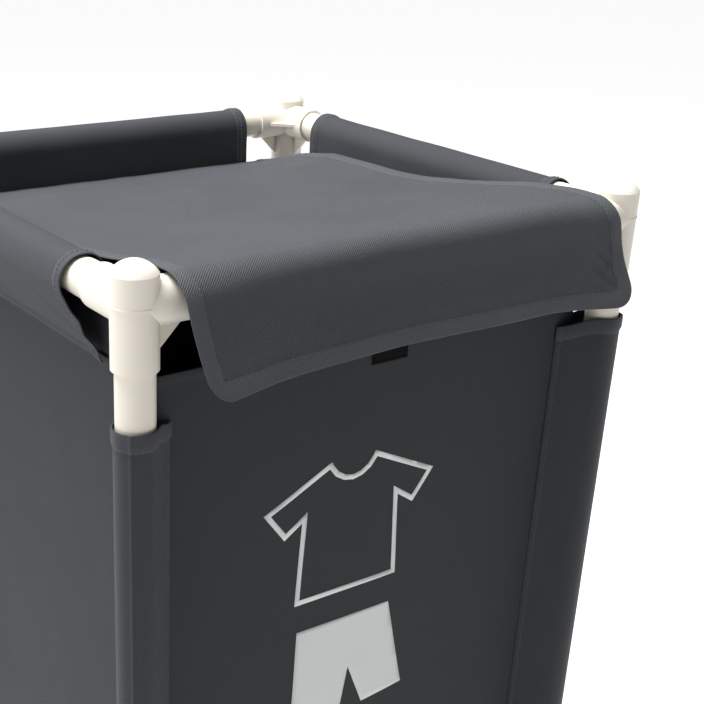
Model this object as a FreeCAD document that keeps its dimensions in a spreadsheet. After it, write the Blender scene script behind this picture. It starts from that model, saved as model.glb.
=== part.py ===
import FreeCAD, Part
import math
import os
import re
import Sketcher

# Laundry hamper: a plastic tube frame with eight three-way corner fittings, a fabric bag whose
# sleeves slide over the tubes, and a fabric lid sewn inside the back of the bag. The lid passes
# over the front rail and its flap hangs down in front.
# Frame: origin on the floor at the middle of the frame, +Z up, front towards -Y. Millimetres.

os.makedirs("parts", exist_ok=True)
doc = FreeCAD.newDocument("laundry_hamper")
V = FreeCAD.Vector
ROT = FreeCAD.Rotation

SIZES = [
    # overall frame
    ("overall_height", 600.0, "floor to the top of the corner caps"),
    ("frame_width", 360.0, "between post axes, left to right"),
    ("frame_depth", 360.0, "between post axes, front to back"),
    # tube
    ("tube_od", 22.0, "outside diameter of posts and rails"),
    ("tube_wall", 1.6, "wall of the tube"),
    # corner fitting
    ("fitting_wall", 1.8, "wall of the fitting's sockets"),
    ("socket_clearance", 0.1, "radial gap between tube and socket"),
    ("socket_floor", 3.0, "an inserted tube's end to the side of the tube it points at"),
    ("arm_reach", 34.6, "node centre to a socket's mouth"),
    ("cap_band", 3.6, "an arm's top up to the rim of the domed cap"),
    ("cap_top", 23.0, "node centre to the flat of the domed cap"),
    ("cap_flat_radius", 4.5, "flat on the dome, which is the foot's bearing face"),
    ("web_thickness", 2.4, "gusset webs between the arms"),
    ("web_reach", 40.0, "node centre to a web's outer corner along an arm"),
    ("rib_stand", 0.35, "moulding rib round the post barrel, above its surface"),
    ("rib_width", 1.2, "moulding rib, along the post"),
    # bag
    ("cloth_thickness", 1.0, "bag cloth with its lining, as a solid"),
    ("panel_clearance", 0.3, "between a fitting's barrel and the panels' outer faces"),
    ("sleeve_clearance", 0.3, "between a tube and a snug sleeve"),
    ("top_sleeve_ease", 2.4, "slack radius of a top sleeve round its rail"),
    ("top_seam_drop", 48.0, "top rail axis down to the seam under a sleeve"),
    ("top_sleeve_end", 52.0, "post axis to the mouth of a top sleeve"),
    ("bottom_seam_rise", 32.0, "bottom rail axis up to the seam over a sleeve"),
    ("bottom_sleeve_end", 48.0, "post axis to the mouth of a bottom sleeve"),
    ("floor_rise", 15.5, "bottom rail axis up to the underside of the bag's floor"),
    ("floor_thickness", 2.0, "stiffened floor panel"),
    ("post_seam_reach", 15.0, "panels' corner to the seam of a post sleeve"),
    ("post_sleeve_drop", 66.7, "top rail axis down to the top of a post sleeve"),
    ("post_sleeve_rise", 60.0, "bottom rail axis up to the end of a post sleeve"),
    # lid
    ("lid_thickness", 1.2, "hemmed lid cloth, as a solid"),
    ("lid_side_clearance", 4.1, "between a fitting's barrel and the lid's side edge"),
    ("lid_taper", 14.0, "each side of the lid narrows by this at its back edge"),
    ("lid_taper_in", 65.0, "back edge to where the taper ends"),
    ("lid_back_gap", 0.3, "lid's back edge to the back sleeve"),
    ("lid_back_drop", 28.0, "top rail axis down to the lid's back edge"),
    ("lid_knee_in", 45.0, "lid's back edge to the first bend"),
    ("lid_knee_drop", 16.5, "top rail axis down to the first bend"),
    ("lid_middle_drop", 12.0, "top rail axis down to the lid's middle"),
    ("lid_ramp_rise", 2.0, "top rail axis up to the bend in the ramp"),
    ("lid_ramp_in", 91.0, "fold line to the bend in the ramp"),
    ("fold_clearance", 0.8, "between the front sleeve and the inside of the lid's fold"),
    ("fold_forward", 2.0, "fold centre in front of the rail axis"),
    ("flap_drop", 50.0, "top rail axis down to the flap's hem"),
    # closure and prints
    ("patch_width", 28.5, "hook-and-loop patch"),
    ("patch_height", 17.0, "hook-and-loop patch"),
    ("patch_thickness", 0.8, "hook-and-loop patch"),
    ("patch_offset", 4.8, "patch centre to the right of the middle"),
    ("patch_below_seam", 4.0, "front sleeve's seam down to the bag's patch"),
    ("flap_patch_rise", 3.0, "flap's hem up to the flap's patch"),
    ("print_thickness", 0.3, "ink on the front panel"),
    ("print_offset", -19.0, "prints' centre line, from the middle"),
    ("shirt_top_drop", 127.0, "top rail axis down to the shirt's collar"),
    ("shorts_top_drop", 243.0, "top rail axis down to the shorts' waist"),
    ("outline_stroke", 3.5, "line width of the shirt"),
]
# what fits to another piece is a sum of that piece's sizes and a clearance, as (size, share);
# a sum may hold the sums above it
FITTED = {
    # a fitting's barrel and arms
    "fitting_radius": (("tube_od", 0.5), ("socket_clearance", 1), ("fitting_wall", 1)),
    # node centre to the end of an inserted tube
    "socket_stop": (("tube_od", 0.5), ("socket_floor", 1)),
    # node centre to the rim of the domed cap
    "cap_rim": (("fitting_radius", 1), ("cap_band", 1)),
    # post axis to a panel's outer face, to the seam of a post sleeve and to the lid's side edge
    "panel_setback": (("fitting_radius", 1), ("panel_clearance", 1)),
    "post_seam": (("panel_setback", 1), ("post_seam_reach", 1)),
    "lid_side_gap": (("fitting_radius", 1), ("lid_side_clearance", 1)),
    # inside radius of a top sleeve's loop, and of the lid's fold over it
    "loop_radius": (("tube_od", 0.5), ("top_sleeve_ease", 1)),
    "fold_radius": (("loop_radius", 1), ("cloth_thickness", 1), ("fold_clearance", 1)),
    # a sleeve's outer seam below its inner one, and the top of the bag's patch below the rail axis
    "seam_step": (("cloth_thickness", 2),),
    "bag_patch_drop": (("top_seam_drop", 1), ("seam_step", 1), ("patch_below_seam", 1)),
}

sheet = doc.addObject("Spreadsheet::Sheet", "dims")
for row, (alias, value, meaning) in enumerate(SIZES, start=1):
    sheet.set("A%d" % row, alias)
    sheet.set("B%d" % row, repr(value))
    sheet.set("C%d" % row, meaning)
    sheet.setAlias("B%d" % row, alias)
doc.recompute()


def size(alias):
    """A driving dimension, read back from the sheet, or a fitted one summed from them."""
    if alias in FITTED:
        return sum(share * size(part) for part, share in FITTED[alias])
    return float(sheet.get(alias))


def spelled_out(formula):
    """A formula whose fitted sizes are written out in the sheet's own cells."""
    for alias in reversed(list(FITTED)):
        terms = " + ".join("%s * dims.%s" % (share, part) for part, share in FITTED[alias])
        formula = re.sub(r"dims\.%s\b" % alias, "(%s)" % terms, formula)
    return formula


def bind(obj, **expressions):
    """Bind properties to sheet formulas; base_x, base_y and base_z are the Placement's."""
    for name, formula in expressions.items():
        if name.startswith("base_"):
            name = "Placement.Base." + name[-1]
        obj.setExpression(name, spelled_out(formula))
    return obj


def primitive(kind, name, rotation=None, **expressions):
    """One Part primitive, turned about its own origin and bound to the sheet."""
    obj = doc.addObject("Part::" + kind, name)
    if rotation is not None:
        obj.Placement = FreeCAD.Placement(V(0, 0, 0), rotation)
    return bind(obj, **expressions)


def combine(kind, name, shapes):
    """A boolean: MultiFuse and MultiCommon take a list, Cut takes base and tool."""
    obj = doc.addObject("Part::" + kind, name)
    if kind == "Cut":
        obj.Base, obj.Tool = shapes
    else:
        obj.Shapes = shapes
    return obj


NODES = []


def node(obj, label):
    """Name a finished sub-part and put it on the list of nodes to write."""
    obj.Label = label
    NODES.append(obj)
    return obj


# heights and half spans that several pieces share, as sheet formulas
TUBE_R = "dims.tube_od / 2"
FITTING_R = "dims.fitting_radius"
BOTTOM_AXIS = "dims.cap_top"
TOP_AXIS = "(dims.overall_height - dims.cap_top)"
SOCKET_R = "(dims.tube_od / 2 + dims.socket_clearance)"

# the four corners: name, side signs in x and y, and the turn that brings the front left one there
CORNERS = [("front_left", -1, -1, 0), ("front_right", 1, -1, 90),
           ("back_right", 1, 1, 180), ("back_left", -1, 1, 270)]
# the four sides: name, and the turn that brings the front one there
SIDES = [("front", 0), ("right", 90), ("back", 180), ("left", 270)]

ALONG_X = ROT(V(0, 1, 0), 90)
ALONG_Y = ROT(V(1, 0, 0), -90)


# ---- corner fittings -------------------------------------------------------------------------
def corner_fitting(level, corner):
    """Three-way fitting: arms along +X and +Y, post socket down -Z, domed cap on top."""
    where, sx, sy, turn = corner
    name = "%s_corner_%s" % (level, where)
    barrel = primitive("Cylinder", name + "_barrel", Radius=FITTING_R,
                       Height="dims.arm_reach + dims.cap_rim", base_z="-dims.arm_reach")
    sphere_z = ("((%s ^ 2 - dims.cap_flat_radius ^ 2 + dims.cap_rim ^ 2 - dims.cap_top ^ 2)"
                " / (2 * (dims.cap_rim - dims.cap_top)))" % FITTING_R)
    ball = primitive("Sphere", name + "_ball", base_z=sphere_z,
                     Radius="sqrt(%s ^ 2 + (dims.cap_rim - %s) ^ 2)" % (FITTING_R, sphere_z))
    crown = primitive("Cylinder", name + "_crown", Radius=FITTING_R,
                      Height="dims.cap_top - dims.cap_rim / 2", base_z="dims.cap_rim / 2")
    dome = combine("MultiCommon", name + "_dome", [ball, crown])
    rib = primitive("Cylinder", name + "_rib", Radius=FITTING_R + " + dims.rib_stand",
                    Height="dims.rib_width", base_z="-dims.rib_width / 2")
    arms = [primitive("Cylinder", name + "_arm", turned, Radius=FITTING_R, Height="dims.arm_reach")
            for turned in (ALONG_X, ALONG_Y)]
    webs = []
    # a web is a thin right triangle with its legs along the wedge's X and Y, its thickness along Z
    for turned in (ROT(0, 0, 0), ROT(V(1, 0, 0), -90), ROT(V(0, 1, 0), V(0, 0, -1), V(-1, 0, 0), "ZXY")):
        web = primitive("Wedge", name + "_web", turned, Xmin="0", Xmax="dims.web_reach", Ymin="0",
                        Ymax="dims.web_reach", Zmin="-dims.web_thickness / 2",
                        Zmax="dims.web_thickness / 2", X2min="0", X2max="0",
                        Z2min="-dims.web_thickness / 2", Z2max="dims.web_thickness / 2")
        webs.append(web)
    solid = combine("MultiFuse", name + "_solid", [barrel, dome, rib] + arms + webs)
    bores = []
    for turned in (ALONG_X, ALONG_Y, ROT(V(1, 0, 0), 180)):
        shift = turned.multVec(V(0, 0, 1))
        bore = primitive("Cylinder", name + "_bore", turned, Radius=SOCKET_R,
                         Height="dims.arm_reach")
        axis = "xyz"[[abs(round(c)) for c in shift].index(1)]
        sign = "-" if min(round(c) for c in shift) < 0 else ""
        bind(bore, **{"base_" + axis: sign + "dims.socket_stop"})
        bores.append(bore)
    fitting = combine("Cut", name, [solid, combine("MultiFuse", name + "_bores", bores)])
    place = ROT(V(0, 0, 1), turn)
    if level == "bottom":
        place = place.multiply(ROT(V(1, 1, 0), 180))
    fitting.Placement = FreeCAD.Placement(V(0, 0, 0), place)
    bind(fitting, base_x="%d * dims.frame_width / 2" % sx, base_y="%d * dims.frame_depth / 2" % sy,
         base_z=TOP_AXIS if level == "top" else BOTTOM_AXIS)
    return node(fitting, name)


# ---- tubes -----------------------------------------------------------------------------------
def tube(label, rotation, length, **places):
    """Round tube along its body's Z: a ring sketch, padded to its length."""
    body = doc.addObject("PartDesign::Body", label + "_body")
    body.Placement = FreeCAD.Placement(V(0, 0, 0), rotation)
    sketch = body.newObject("Sketcher::SketchObject", label + "_ring")
    plane = next(f for f in body.Origin.OriginFeatures if f.Role == "XY_Plane")
    sketch.AttachmentSupport = [(plane, "")]
    sketch.MapMode = "FlatFace"
    for k, formula in enumerate((TUBE_R, TUBE_R + " - dims.tube_wall")):
        sketch.addGeometry(Part.Circle(V(0, 0, 0), V(0, 0, 1), 10 - k), False)
        sketch.addConstraint(Sketcher.Constraint("Coincident", k, 3, -1, 1))
        radius = sketch.addConstraint(Sketcher.Constraint("Radius", k, 10.0 - k))
        sketch.setExpression("Constraints[%d]" % radius, formula)
    pad = body.newObject("PartDesign::Pad", label + "_pad")
    pad.Profile = sketch
    pad.setExpression("Length", spelled_out(length))
    sketch.Visibility = False
    bind(body, **places)
    return node(body, label)


# ---- fabric strips round the tubes -----------------------------------------------------------
def strip_face(radius, thickness, ends):
    """Section of a strip that leaves a seam, wraps a tube at the origin and comes back to a seam.

    Each end is (seam point, direction of the face it is sewn to, side it leaves the tube on).
    """
    runs = []
    for seam, along, side in ends:
        around = seam.getAngle(V(1, 0, 0)) * (1 if seam.y >= 0 else -1)
        angle = around + side * math.acos((radius + thickness / 2) / seam.Length)
        normal = V(math.cos(angle), math.sin(angle), 0)
        run = []
        for r in (radius, radius + thickness):
            slide = (r - seam.dot(normal)) / along.dot(normal)
            run.append((seam + along * slide, normal * r))
        runs.append(run)
    back = ends[0][0] + ends[1][0]
    far = V(-back.x, -back.y, 0).normalize()
    edges = []
    for k, r in enumerate((radius, radius + thickness)):
        (start, leave), (finish, arrive) = runs[0][k], runs[1][k]
        edges += [Part.makeLine(start, leave), Part.Arc(leave, far * r, arrive).toShape(),
                  Part.makeLine(arrive, finish)]
    edges += [Part.makeLine(runs[0][0][0], runs[0][1][0]), Part.makeLine(runs[1][0][0], runs[1][1][0])]
    return Part.Face(Part.Wire(Part.__sortEdges__(edges)))


def fabric(label, shape, base, rotation):
    """A cut of cloth that wraps round a tube, placed after its shape is set."""
    obj = doc.addObject("Part::Feature", label + "_cloth")
    obj.Shape = shape
    obj.Placement = FreeCAD.Placement(base, rotation)
    return node(obj, label)


def side_span(turn):
    """Length between posts along a side, and the distance of its rail from the middle."""
    if turn in (0, 180):
        return size("frame_width"), size("frame_depth") / 2
    return size("frame_depth"), size("frame_width") / 2


def rail_sleeve(label, turn, height, radius, seam_height, inner_height, end_gap, side):
    """Sleeve round a rail: outer tail sewn to the panel's face, inner tail to the panel's edge."""
    cloth = size("cloth_thickness")
    inward = size("panel_setback")
    face = strip_face(radius, cloth, [(V(inward, seam_height, 0), V(0, 1, 0), side),
                                      (V(inward + cloth / 2, inner_height, 0), V(1, 0, 0), -side)])
    span, away = side_span(turn)
    length = span - 2 * end_gap
    # section x points into the bag, section y up, and the strip runs along the rail
    shape = face.extrude(V(0, 0, length))
    stand = ROT(V(0, 1, 0), V(0, 0, 1), V(1, 0, 0), "ZXY")
    swing = ROT(V(0, 0, 1), turn)
    base = swing.multVec(V(-length / 2, -away, 0)) + V(0, 0, height)
    return fabric(label, shape, base, swing.multiply(stand))


# ---- build: frame ----------------------------------------------------------------------------
for corner in CORNERS:
    corner_fitting("top", corner)
    corner_fitting("bottom", corner)

POST_LENGTH = "dims.overall_height - 2 * dims.cap_top - 2 * dims.socket_stop"
for where, sx, sy, turn in CORNERS:
    tube("post_" + where, ROT(0, 0, 0), POST_LENGTH, base_x="%d * dims.frame_width / 2" % sx,
         base_y="%d * dims.frame_depth / 2" % sy, base_z=BOTTOM_AXIS + " + dims.socket_stop")

for level, height in (("top", TOP_AXIS), ("bottom", BOTTOM_AXIS)):
    for side, turn in SIDES:
        across = turn in (0, 180)
        sign = -1 if side in ("front", "left") else 1
        span = "dims.frame_width" if across else "dims.frame_depth"
        start = "-(%s / 2 - dims.socket_stop)" % span
        places = {"base_z": height, "base_x" if across else "base_y": start,
                  "base_y" if across else "base_x": "%d * %s / 2" % (
                      sign, "dims.frame_depth" if across else "dims.frame_width")}
        tube("%s_rail_%s" % (level, side), ALONG_X if across else ALONG_Y,
             span + " - 2 * dims.socket_stop", **places)

# ---- build: bag ------------------------------------------------------------------------------
top_axis = size("overall_height") - size("cap_top")
bottom_axis = size("cap_top")
tube_radius = size("tube_od") / 2
PANEL_BASE = BOTTOM_AXIS + " + dims.floor_rise"
PANEL_HEIGHT = "%s - dims.top_seam_drop - (%s)" % (TOP_AXIS, PANEL_BASE)
HALF_X = "(dims.frame_width / 2 - dims.panel_setback)"
HALF_Y = "(dims.frame_depth / 2 - dims.panel_setback)"
for side, y in (("front", "-%s" % HALF_Y), ("back", "%s - dims.cloth_thickness" % HALF_Y)):
    node(primitive("Box", side + "_panel_box", Length="2 * " + HALF_X, Width="dims.cloth_thickness",
                   Height=PANEL_HEIGHT, base_x="-" + HALF_X, base_y=y, base_z=PANEL_BASE),
         "bag_panel_" + side)
for side, x in (("left", "-%s" % HALF_X), ("right", "%s - dims.cloth_thickness" % HALF_X)):
    node(primitive("Box", side + "_panel_box", Length="dims.cloth_thickness",
                   Width="2 * (%s - dims.cloth_thickness)" % HALF_Y, Height=PANEL_HEIGHT, base_x=x,
                   base_y="-(%s - dims.cloth_thickness)" % HALF_Y, base_z=PANEL_BASE),
         "bag_panel_" + side)
node(primitive("Box", "floor_box", Length="2 * (%s - dims.cloth_thickness)" % HALF_X,
               Width="2 * (%s - dims.cloth_thickness)" % HALF_Y, Height="dims.floor_thickness",
               base_x="-(%s - dims.cloth_thickness)" % HALF_X,
               base_y="-(%s - dims.cloth_thickness)" % HALF_Y, base_z=PANEL_BASE), "bag_floor")

# a slack top sleeve hangs on its rail, so its loop sits lower than the rail by the slack
loop_radius = size("loop_radius")
loop_drop = size("top_sleeve_ease") - size("sleeve_clearance")
loop_seam = -(size("top_seam_drop") - loop_drop)
snug_radius = tube_radius + size("sleeve_clearance")
for side, turn in SIDES:
    rail_sleeve("top_sleeve_" + side, turn, top_axis - loop_drop, loop_radius,
                loop_seam - size("seam_step"), loop_seam, size("top_sleeve_end"), -1)
    rail_sleeve("bottom_sleeve_" + side, turn, bottom_axis, snug_radius,
                size("bottom_seam_rise"), size("floor_rise"), size("bottom_sleeve_end"), 1)

# a post sleeve is sewn to the outer faces of the two panels that meet beside its post
seam, setback = size("post_seam"), size("panel_setback")
sleeve_base = bottom_axis + size("post_sleeve_rise")
sleeve_height = top_axis - size("post_sleeve_drop") - sleeve_base
wrap = strip_face(snug_radius, size("cloth_thickness"),
                  [(V(seam, setback, 0), V(1, 0, 0), -1), (V(setback, seam, 0), V(0, 1, 0), 1)])
for where, sx, sy, turn in CORNERS:
    fabric("post_sleeve_" + where, wrap.extrude(V(0, 0, sleeve_height)),
           V(sx * size("frame_width") / 2, sy * size("frame_depth") / 2, sleeve_base),
           ROT(V(0, 0, 1), turn))


# ---- build: lid ------------------------------------------------------------------------------
def lid_section():
    """Points of the lid's top face from its back edge to the fold line, as (y, z)."""
    back = (size("frame_depth") / 2 - loop_radius - size("cloth_thickness")
            - size("lid_back_gap"))
    fold = -(size("frame_depth") / 2 + size("fold_forward"))
    return [(back, top_axis - size("lid_back_drop")),
            (back - size("lid_knee_in"), top_axis - size("lid_knee_drop")),
            (0, top_axis - size("lid_middle_drop")),
            (fold + size("lid_ramp_in"), top_axis + size("lid_ramp_rise")),
            (fold, top_axis + size("fold_radius") + size("lid_thickness"))]


lid_width = size("frame_width") - 2 * size("lid_side_gap")
upper = [V(-lid_width / 2, y, z) for y, z in lid_section()]
lower = [point - V(0, 0, size("lid_thickness")) for point in upper]
outline = upper + lower[::-1] + upper[:1]
lid = Part.Face(Part.makePolygon(outline)).extrude(V(lid_width, 0, 0))
# seen from above, the back corners taper in to swing clear of the back fittings' webs
back_y, fold_y = upper[0].y, upper[-1].y
plan = [(lid_width / 2 - size("lid_taper"), back_y), (lid_width / 2, back_y - size("lid_taper_in")),
        (lid_width / 2, fold_y)]
plan += [(-x, y) for x, y in plan[::-1]]
floor_plan = [V(x, y, 0) for x, y in plan + plan[:1]]
column = Part.Face(Part.makePolygon(floor_plan)).extrude(V(0, 0, size("overall_height")))
fabric("lid_panel", lid.common(column), V(0, 0, 0), ROT(0, 0, 0))

# the flap is a quarter fold over the front rail and a straight drop below it
LID_WIDTH = "(dims.frame_width - 2 * dims.lid_side_gap)"
FOLD_Y = "-(dims.frame_depth / 2 + dims.fold_forward)"
FOLD_OUT = "(dims.fold_radius + dims.lid_thickness)"
fold_outer = primitive("Cylinder", "fold_outer", ALONG_X, Radius=FOLD_OUT, Height=LID_WIDTH)
fold_inner = primitive("Cylinder", "fold_inner", ALONG_X, Radius="dims.fold_radius",
                       Height=LID_WIDTH)
fold_keep = primitive("Box", "fold_keep", Length=LID_WIDTH, Width=FOLD_OUT, Height=FOLD_OUT,
                      base_y="-" + FOLD_OUT)
fold = combine("MultiCommon", "fold_quarter",
               [combine("Cut", "fold_ring", [fold_outer, fold_inner]), fold_keep])
drop = primitive("Box", "flap_drop_box", Length=LID_WIDTH, Width="dims.lid_thickness",
                 Height="dims.flap_drop", base_y="-" + FOLD_OUT, base_z="-dims.flap_drop")
flap = combine("MultiFuse", "front_flap_solid", [fold, drop])
bind(flap, base_x="-%s / 2" % LID_WIDTH, base_y=FOLD_Y, base_z=TOP_AXIS)
node(flap, "lid_front_flap")

# ---- build: closure --------------------------------------------------------------------------
PATCH_X = "dims.patch_offset - dims.patch_width / 2"
node(primitive("Box", "bag_patch_box", Length="dims.patch_width", Width="dims.patch_thickness",
               Height="dims.patch_height", base_x=PATCH_X,
               base_y="-%s - dims.patch_thickness" % HALF_Y,
               base_z="%s - dims.bag_patch_drop - dims.patch_height" % TOP_AXIS), "bag_loop_patch")
node(primitive("Box", "flap_patch_box", Length="dims.patch_width", Width="dims.patch_thickness",
               Height="dims.patch_height", base_x=PATCH_X,
               base_y="%s - dims.fold_radius" % FOLD_Y,
               base_z="%s - dims.flap_drop + dims.flap_patch_rise" % TOP_AXIS), "flap_hook_patch")

# ---- build: prints ---------------------------------------------------------------------------
# outlines as (across from the prints' centre line, down from the print's top)
SHIRT_HALF = [(0, 13), (9, 10), (17, 1), (67.5, 24.5), (51.5, 45.5), (38, 36.5), (41, 96)]
SHORTS = [(-38.5, 0), (37.5, 1), (55, 71), (19.5, 74), (5.5, 41), (0, 75), (-41, 73)]


def print_face(loop, drop):
    """Face of a print, standing on the front panel's outer face."""
    centre = size("print_offset")
    top = top_axis - size(drop)
    face_y = -(size("frame_depth") / 2 - size("panel_setback"))
    points = [V(centre + across, face_y, top - down) for across, down in loop]
    return Part.Face(Part.makePolygon(points + points[:1]))


shirt = print_face(SHIRT_HALF + [(-across, down) for across, down in SHIRT_HALF[:0:-1]],
                   "shirt_top_drop")
inside = shirt.makeOffset2D(-size("outline_stroke"))
raise_ink = V(0, -size("print_thickness"), 0)
fabric("shirt_print", shirt.cut(inside).Faces[0].extrude(raise_ink), V(0, 0, 0), ROT(0, 0, 0))
fabric("shorts_print", print_face(SHORTS, "shorts_top_drop").extrude(raise_ink), V(0, 0, 0),
       ROT(0, 0, 0))

# ---- check and write -------------------------------------------------------------------------
doc.recompute()
for obj in doc.Objects:
    if "Invalid" in obj.State or "Error" in obj.State:
        raise SystemExit("%s did not build: %s" % (obj.Label, obj.State))
for obj in NODES:
    if obj.Shape.isNull() or not obj.Shape.isValid() or not obj.Shape.Solids:
        raise SystemExit("%s has no valid solid" % obj.Label)
    obj.Shape.exportStep("parts/%s.step" % obj.Label)
    box = obj.Shape.BoundBox
    print("%-28s solids %d  volume %9.1f  x %7.1f %7.1f  y %7.1f %7.1f  z %7.1f %7.1f" % (
        obj.Label, len(obj.Shape.Solids), obj.Shape.Volume, box.XMin, box.XMax, box.YMin,
        box.YMax, box.ZMin, box.ZMax))
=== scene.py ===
import math

import bmesh
import bpy
from mathutils import Matrix, Vector, noise


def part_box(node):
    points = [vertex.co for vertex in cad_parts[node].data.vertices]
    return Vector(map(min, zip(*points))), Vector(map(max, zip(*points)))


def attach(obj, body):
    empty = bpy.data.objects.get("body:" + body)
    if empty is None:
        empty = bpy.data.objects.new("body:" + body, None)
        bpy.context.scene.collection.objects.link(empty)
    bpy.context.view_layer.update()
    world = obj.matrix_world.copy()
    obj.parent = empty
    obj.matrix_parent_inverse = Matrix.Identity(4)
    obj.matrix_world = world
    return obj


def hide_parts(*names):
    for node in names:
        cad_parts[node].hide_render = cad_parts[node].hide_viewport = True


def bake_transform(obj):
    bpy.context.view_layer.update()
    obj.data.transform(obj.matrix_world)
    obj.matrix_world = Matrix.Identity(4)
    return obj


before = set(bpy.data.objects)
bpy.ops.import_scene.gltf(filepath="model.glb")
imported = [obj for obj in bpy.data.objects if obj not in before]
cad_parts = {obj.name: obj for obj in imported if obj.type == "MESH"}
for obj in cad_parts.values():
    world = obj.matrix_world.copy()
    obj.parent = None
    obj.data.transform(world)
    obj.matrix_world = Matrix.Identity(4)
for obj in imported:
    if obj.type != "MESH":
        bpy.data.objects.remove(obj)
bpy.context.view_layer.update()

# ---- places read from the frame, in metres ---------------------------------------------------
TURNS = {"front": 0, "right": 1, "back": 2, "left": 3}
CORNER_TURNS = {"front_left": 0, "front_right": 1, "back_right": 2, "back_left": 3}
UP = Vector((0, 0, 1))


def middle(node):
    low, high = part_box(node)
    return (low + high) / 2


RAIL_AWAY = -middle("top_rail_front").y          # middle of the hamper to a rail's axis
TOP_RAIL = middle("top_rail_front").z
BOTTOM_RAIL = middle("bottom_rail_front").z
PANEL_AWAY = -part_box("bag_panel_front")[0].y     # middle of the hamper to a panel's outer face
PANEL_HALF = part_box("bag_panel_front")[1].x
PANEL_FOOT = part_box("bag_panel_front")[0].z
PANEL_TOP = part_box("bag_panel_front")[1].z
SETBACK = RAIL_AWAY - PANEL_AWAY                 # post axis to a panel's outer face

CLOTH = 0.0007           # thickness of one layer of bag cloth
LID_CLOTH_THICK = 0.0009
HEM = 0.0095             # width of the hem at a rail sleeve's mouths
SEAM_TURNING = 0.0055    # width of the turning along a top sleeve's seam
POST_HEM = 0.011         # width of the hem at a post sleeve's ends
POST_SEAM = 0.004        # width of the turning down a post sleeve's sides
PANEL_HEM = 0.006        # width of the hem along a panel's top
LID_HEM = 0.0105         # width of the hem round the lid and its flap
STITCH_IN = 0.0006       # from a hem's inner edge to its stitches
STITCH_PITCH = 0.0031
STITCH_LENGTH = 0.0023
THREAD_RADIUS = 0.00026


def turned(point, quarter_turns):
    """A point turned about the hamper's upright axis, by quarter turns seen from above."""
    return Matrix.Rotation(quarter_turns * math.pi / 2, 3, "Z") @ Vector(point)


def ease(value):
    """0 below 0, 1 above 1, and smooth between."""
    value = min(1.0, max(0.0, value))
    return value * value * (3 - 2 * value)


def soft_noise(x, y, seed):
    return noise.noise(Vector((x, y, seed * 7.31)))


# ---- materials -------------------------------------------------------------------------------
def new_group(name, inputs, outputs):
    """Empty shader group with float or vector sockets."""
    group = bpy.data.node_groups.new(name, "ShaderNodeTree")
    for label, kind, value in inputs:
        socket = group.interface.new_socket(label, in_out="INPUT", socket_type=kind)
        if value is not None:
            socket.default_value = value
    for label, kind in outputs:
        group.interface.new_socket(label, in_out="OUTPUT", socket_type=kind)
    return group, group.nodes.new("NodeGroupInput"), group.nodes.new("NodeGroupOutput")


def feed(tree, socket, value):
    """Link an output into a socket, or set the socket to a plain value."""
    if isinstance(value, bpy.types.NodeSocket):
        tree.links.new(value, socket)
    else:
        socket.default_value = value


def math_node(tree, operation, *operands):
    """One math node; an operand is a number or an output socket."""
    node = tree.nodes.new("ShaderNodeMath")
    node.operation = operation
    for socket, operand in zip(node.inputs, operands):
        feed(tree, socket, operand)
    return node.outputs[0]


def noise_texture(tree, place, **values):
    """Noise over a place, with the given values on its sockets."""
    texture = tree.nodes.new("ShaderNodeTexNoise")
    for socket, value in values.items():
        texture.inputs[socket].default_value = value
    tree.links.new(place, texture.inputs["Vector"])
    return texture.outputs["Fac"]


def woven_group():
    """Over-and-under threads of a plain weave, with the slubs and shading of real yarn."""
    group, given, made = new_group(
        "woven_threads",
        [("Place", "NodeSocketVector", None), ("Thread Width", "NodeSocketFloat", 0.0006)],
        [("Height", "NodeSocketFloat"), ("Threads", "NodeSocketFloat"),
         ("Shading", "NodeSocketFloat")])
    split = group.nodes.new("ShaderNodeSeparateXYZ")
    group.links.new(given.outputs["Place"], split.inputs[0])
    turn = math_node(group, "DIVIDE", math.pi, given.outputs["Thread Width"])
    waves = [math_node(group, "SINE", math_node(group, "MULTIPLY", split.outputs[k], turn))
             for k in (0, 1)]
    crossing = math_node(group, "MULTIPLY", waves[0], waves[1])
    both = math_node(group, "ADD", math_node(group, "MULTIPLY", split.outputs[0], turn),
                     math_node(group, "MULTIPLY", split.outputs[1], turn))
    twill = math_node(group, "MULTIPLY", math_node(group, "SINE", both), 0.45)
    slub = noise_texture(group, given.outputs["Place"], Scale=900.0, Detail=2.0)
    height = math_node(group, "ADD", math_node(group, "ADD", crossing, twill),
                       math_node(group, "MULTIPLY", slub, 0.8))
    threads = math_node(group, "MULTIPLY_ADD", height, 0.4, 0.3)
    cloud = noise_texture(group, given.outputs["Place"], Scale=14.0, Detail=5.0, Roughness=0.65)
    for value, socket in ((height, "Height"), (threads, "Threads"), (cloud, "Shading")):
        group.links.new(value, made.inputs[socket])
    return group


def moulded_group():
    """Faint flow marks and handling dullness of moulded plastic."""
    group, given, made = new_group(
        "moulded_plastic_surface", [("Place", "NodeSocketVector", None)],
        [("Height", "NodeSocketFloat"), ("Tone", "NodeSocketFloat")])
    fine = noise_texture(group, given.outputs["Place"], Scale=420.0, Detail=3.0)
    wide = noise_texture(group, given.outputs["Place"], Scale=22.0, Detail=4.0)
    group.links.new(fine, made.inputs["Height"])
    group.links.new(wide, made.inputs["Tone"])
    return group


WOVEN = woven_group()
MOULDED = moulded_group()


def new_material(name, roughness, **values):
    """Material with one Principled shader; values are set on its own sockets."""
    material = bpy.data.materials.new(name)
    material.use_nodes = True
    tree = material.node_tree
    shader = tree.nodes["Principled BSDF"]
    shader.inputs["Roughness"].default_value = roughness
    for socket, value in values.items():
        shader.inputs[socket.replace("_", " ")].default_value = value
    return material, tree, shader


def opaque(colour):
    return (*colour, 1)


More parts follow.
